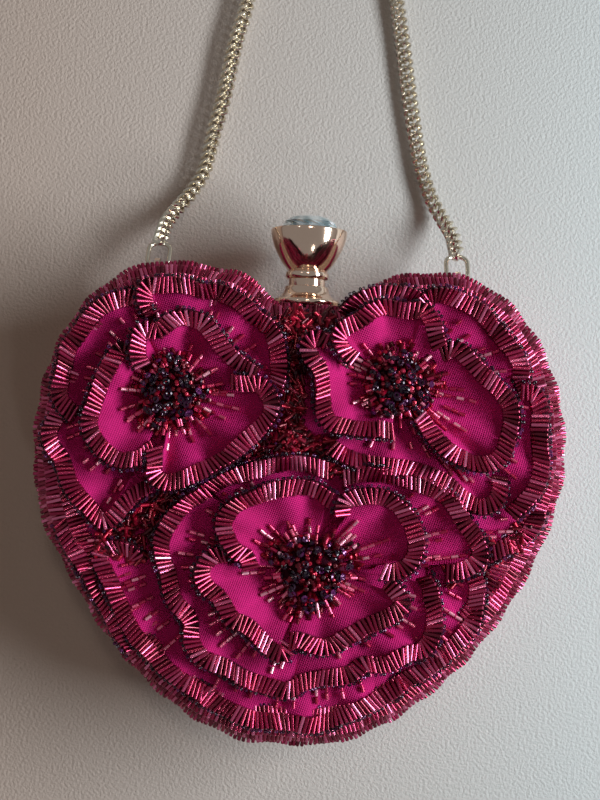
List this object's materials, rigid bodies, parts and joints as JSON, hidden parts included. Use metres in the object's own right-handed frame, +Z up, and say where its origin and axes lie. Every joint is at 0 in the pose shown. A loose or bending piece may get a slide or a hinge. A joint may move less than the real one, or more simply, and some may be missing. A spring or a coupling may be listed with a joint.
{
  "type": "evening clutch",
  "caption": "Heart-shaped hard-case evening clutch: hinged gold frames, crystal press-knob clasp, beaded fabric petals on the front and a curb chain strap.",
  "frame": {"origin": "on the table under the middle of the case, halfway between the heart's tip and the top of the knob's crystal", "axes": "+Z up out of the beaded front, +Y from the heart's tip towards the knob, +X across the lobes to the right as seen from the front"},
  "size_m": [0.1872, 0.4175, 0.057],
  "materials": {
    "polished_gold": "polished rose gold plating",
    "chain_gold": "pale gold",
    "latch_steel": "plain",
    "magenta_fabric": "fine matte weave",
    "wine_beads": "shiny glass beads",
    "dark_beads": "shiny glass beads",
    "satin_lining": "satin",
    "grey_board": "moulded board",
    "clear_crystal": "faceted"
  },
  "bodies": {
    "back": {"back_frame": "polished_gold", "back_cover": "magenta_fabric", "back_shell": "grey_board", "back_lining": "satin_lining", "back_hinge_leaf": "polished_gold", "hinge_pin": "polished_gold", "latch_bracket": "latch_steel", "bracket_rivet_left": "polished_gold", "bracket_rivet_right": "polished_gold", "clasp_collar": "polished_gold", "left_chain_eye": "polished_gold", "right_chain_eye": "polished_gold", "knob_spring": "latch_steel"},
    "front": {"front_frame": "polished_gold", "front_cover": "magenta_fabric", "front_shell": "grey_board", "front_lining": "satin_lining", "front_hinge_leaf": "polished_gold", "catch_plate": "latch_steel", "catch_rivet_left": "polished_gold", "catch_rivet_right": "polished_gold", "front_bead_edge": "wine_beads", "front_bead_row": "wine_beads", "left_side_petals": "magenta_fabric", "right_side_petals": "magenta_fabric", "centre_bead_fill": "dark_beads", "left_outer_petals": "magenta_fabric", "left_inner_petals": "magenta_fabric", "left_bead_centre": "dark_beads", "right_outer_petals": "magenta_fabric", "right_inner_petals": "magenta_fabric", "right_bead_centre": "dark_beads", "bottom_outer_petals": "magenta_fabric", "bottom_inner_petals": "magenta_fabric", "bottom_bead_centre": "dark_beads"},
    "knob": {"knob": "polished_gold", "knob_crystal": "clear_crystal", "latch_hook": "latch_steel", "stem_nut": "latch_steel"},
    "strap": {"left_chain_ring": "chain_gold", "right_chain_ring": "chain_gold", "chain_strap": "chain_gold"}
  },
  "joints": [
    {"name": "lid_hinge", "type": "hinge", "parent": "back", "child": "front", "pos_m": [0, -0.09115, 0.025], "axis": [1, 0, 0], "range_deg": [0, 80]},
    {"name": "knob_press", "type": "slide", "parent": "back", "child": "knob", "axis": [0, -1, 0], "range_m": [0, 0.0025], "stiffness_N_per_m": 600, "springref_m": -0.002, "deforming": ["knob_spring"]},
    {"name": "strap_swing", "type": "hinge", "parent": "back", "child": "strap", "pos_m": [0, 0.07436, 0.02185], "axis": [1, 0, 0], "range_deg": [0, 75]}
  ]
}
